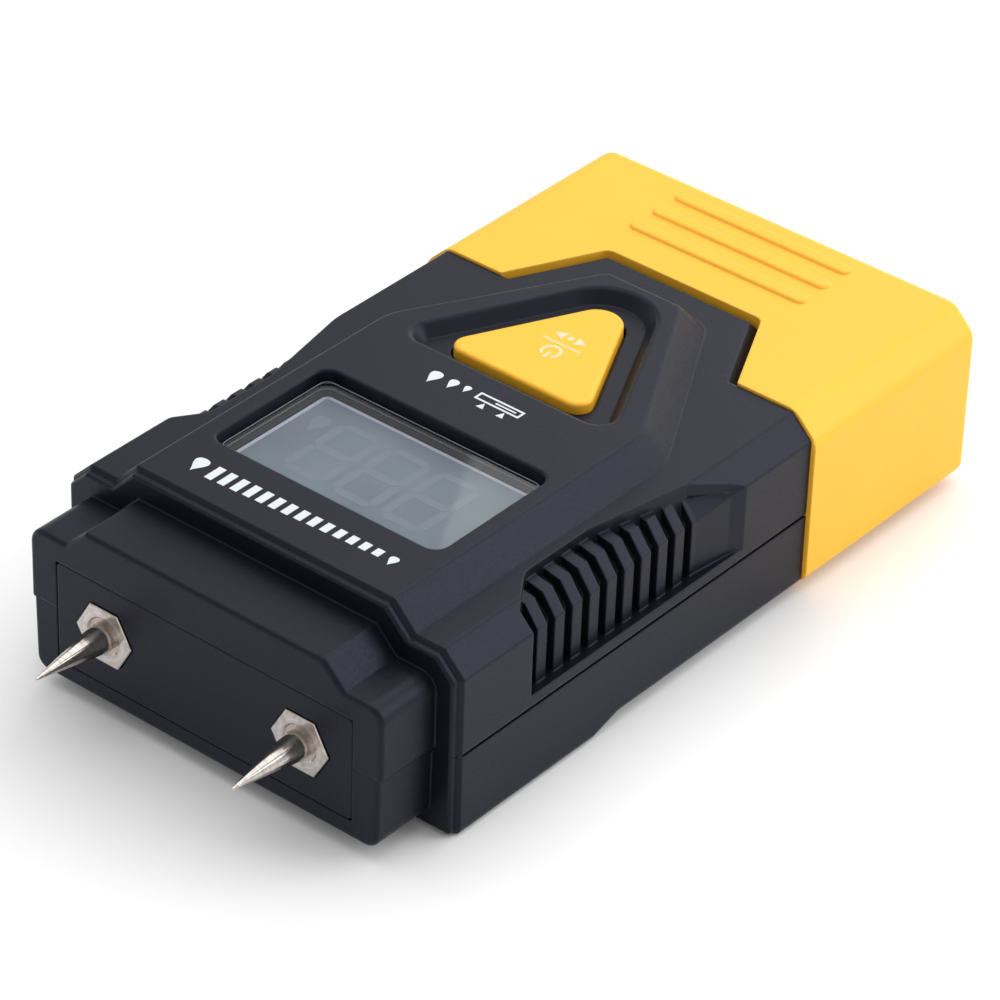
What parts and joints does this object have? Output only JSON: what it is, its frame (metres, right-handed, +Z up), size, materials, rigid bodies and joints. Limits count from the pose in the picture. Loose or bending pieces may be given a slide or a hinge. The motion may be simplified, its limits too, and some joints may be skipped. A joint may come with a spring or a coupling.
{
  "type": "moisture meter",
  "caption": "Pocket pin-type moisture meter: black two-part case with side grips, display window, triangular set button, steel pin electrodes and a slide-off end cover.",
  "frame": {"origin": "centre of the overall box at the height of the front foot pad's underside", "axes": "+Z up from the resting face to the display, -Y towards the electrode tips, +X to the right looking from the electrodes"},
  "size_m": [0.049, 0.0958, 0.0227],
  "materials": {
    "black_abs": "fine moulded texture",
    "yellow_abs": "smooth satin moulding",
    "clear_acrylic": "polished",
    "foam_tape": "matt",
    "lcd_glass": "grey reflective display",
    "white_plastic": "moulded",
    "silicone_strip": "matt",
    "circuit_board": "solder resist",
    "chip_epoxy": "moulded epoxy",
    "switch_key": "moulded",
    "zinc_steel": "zinc plated",
    "nickel_steel": "turned and nickel plated",
    "insert_brass": "turned",
    "contact_brass": "nickel plated strip",
    "cell_can": "stamped steel",
    "label_film": "plain satin film"
  },
  "bodies": {
    "housing": {"upper_shell": "black_abs", "lower_shell": "black_abs", "window_lens": "clear_acrylic", "lens_gasket": "foam_tape", "lcd_glass": "lcd_glass", "lcd_holder": "white_plastic", "lcd_contact_strips": "silicone_strip", "main_board": "circuit_board", "controller_chip": "chip_epoxy", "board_components": "chip_epoxy", "tact_switch": "chip_epoxy", "case_screws": "zinc_steel", "board_screws": "zinc_steel", "electrode_plate": "black_abs", "electrode_pin_left": "nickel_steel", "electrode_pin_right": "nickel_steel", "electrode_insert_left": "insert_brass", "electrode_insert_right": "insert_brass", "electrode_lead_left": "contact_brass", "electrode_lead_right": "contact_brass", "coin_cells": "cell_can", "battery_contact_lower": "contact_brass", "battery_contact_upper": "contact_brass", "back_label": "label_film"},
    "cover": {"end_cover": "yellow_abs"},
    "button": {"set_button": "yellow_abs"},
    "switch_key": {"switch_plunger": "switch_key"}
  },
  "joints": [
    {"name": "cover_slide", "type": "slide", "parent": "housing", "child": "cover", "axis": [0, 1, 0], "range_m": [0, 0.028]},
    {"name": "button_press", "type": "slide", "parent": "housing", "child": "button", "axis": [0, 0, -1], "range_m": [0, 0.0005], "stiffness_N_per_m": 1500},
    {"name": "switch_press", "type": "slide", "parent": "housing", "child": "switch_key", "axis": [0, 0, -1], "range_m": [0, 0.0005]}
  ],
  "couplings": [
    {"joint": "switch_press", "follows": "button_press", "ratio": 1}
  ]
}
